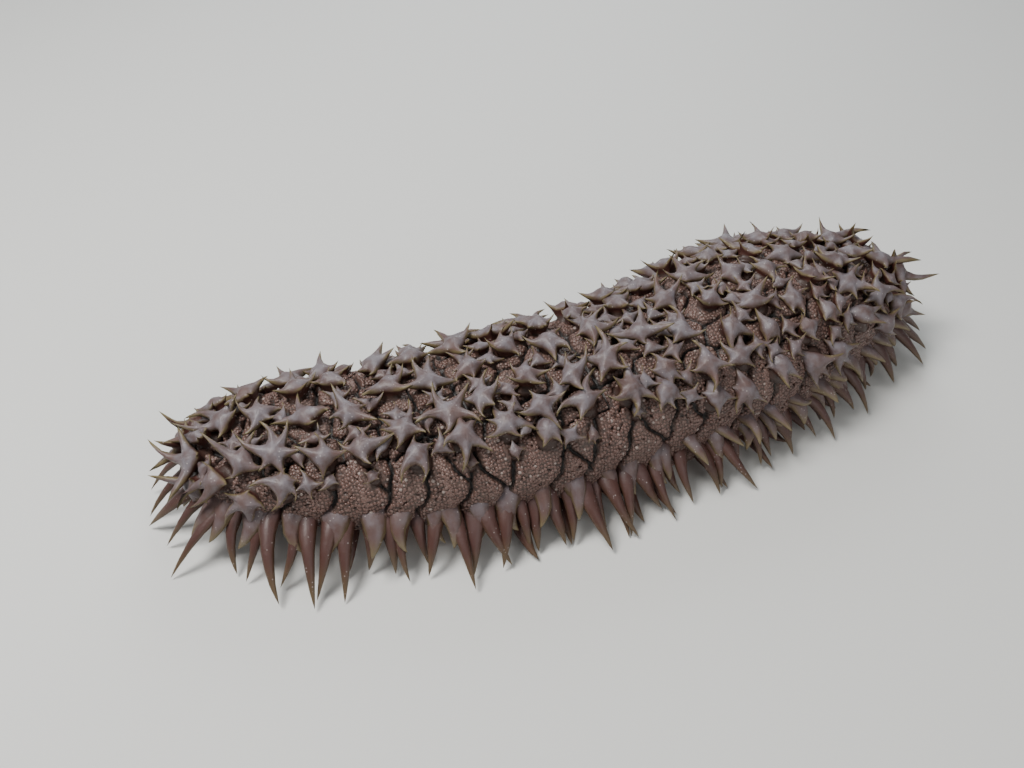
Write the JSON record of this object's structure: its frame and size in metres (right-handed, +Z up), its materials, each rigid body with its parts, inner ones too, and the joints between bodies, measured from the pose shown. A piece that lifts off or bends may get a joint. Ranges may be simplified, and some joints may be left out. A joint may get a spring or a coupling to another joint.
{
  "type": "sea cucumber",
  "caption": "Life-size still model of a star-papilla sea cucumber lying on its sole, with star-shaped papillae, a fringe of long fingers, tube feet, mouth and vent.",
  "frame": {"origin": "on the floor under the middle of the whole animal's outline, papillae included", "axes": "+X along the body from the head to the vent, +Y to the animal's right seen from above with the head at -X, +Z up"},
  "size_m": [0.4826, 0.1844, 0.0915],
  "materials": {
    "body_wall": "moist, grainy brown skin with mauve-grey star papillae and olive tips",
    "sole": "soft russet skin with tube feet",
    "mouth": "moist dark brown",
    "vent": "moist dark brown"
  },
  "bodies": {
    "root": {"front_end": "body_wall", "fore_body": "body_wall", "fore_middle": "body_wall", "hind_middle": "body_wall", "hind_body": "body_wall", "rear_end": "body_wall", "sole_fore": "sole", "sole_fore_middle": "sole", "sole_hind_middle": "sole", "sole_hind": "sole", "mouth": "mouth", "vent": "vent"}
  },
  "joints": []
}
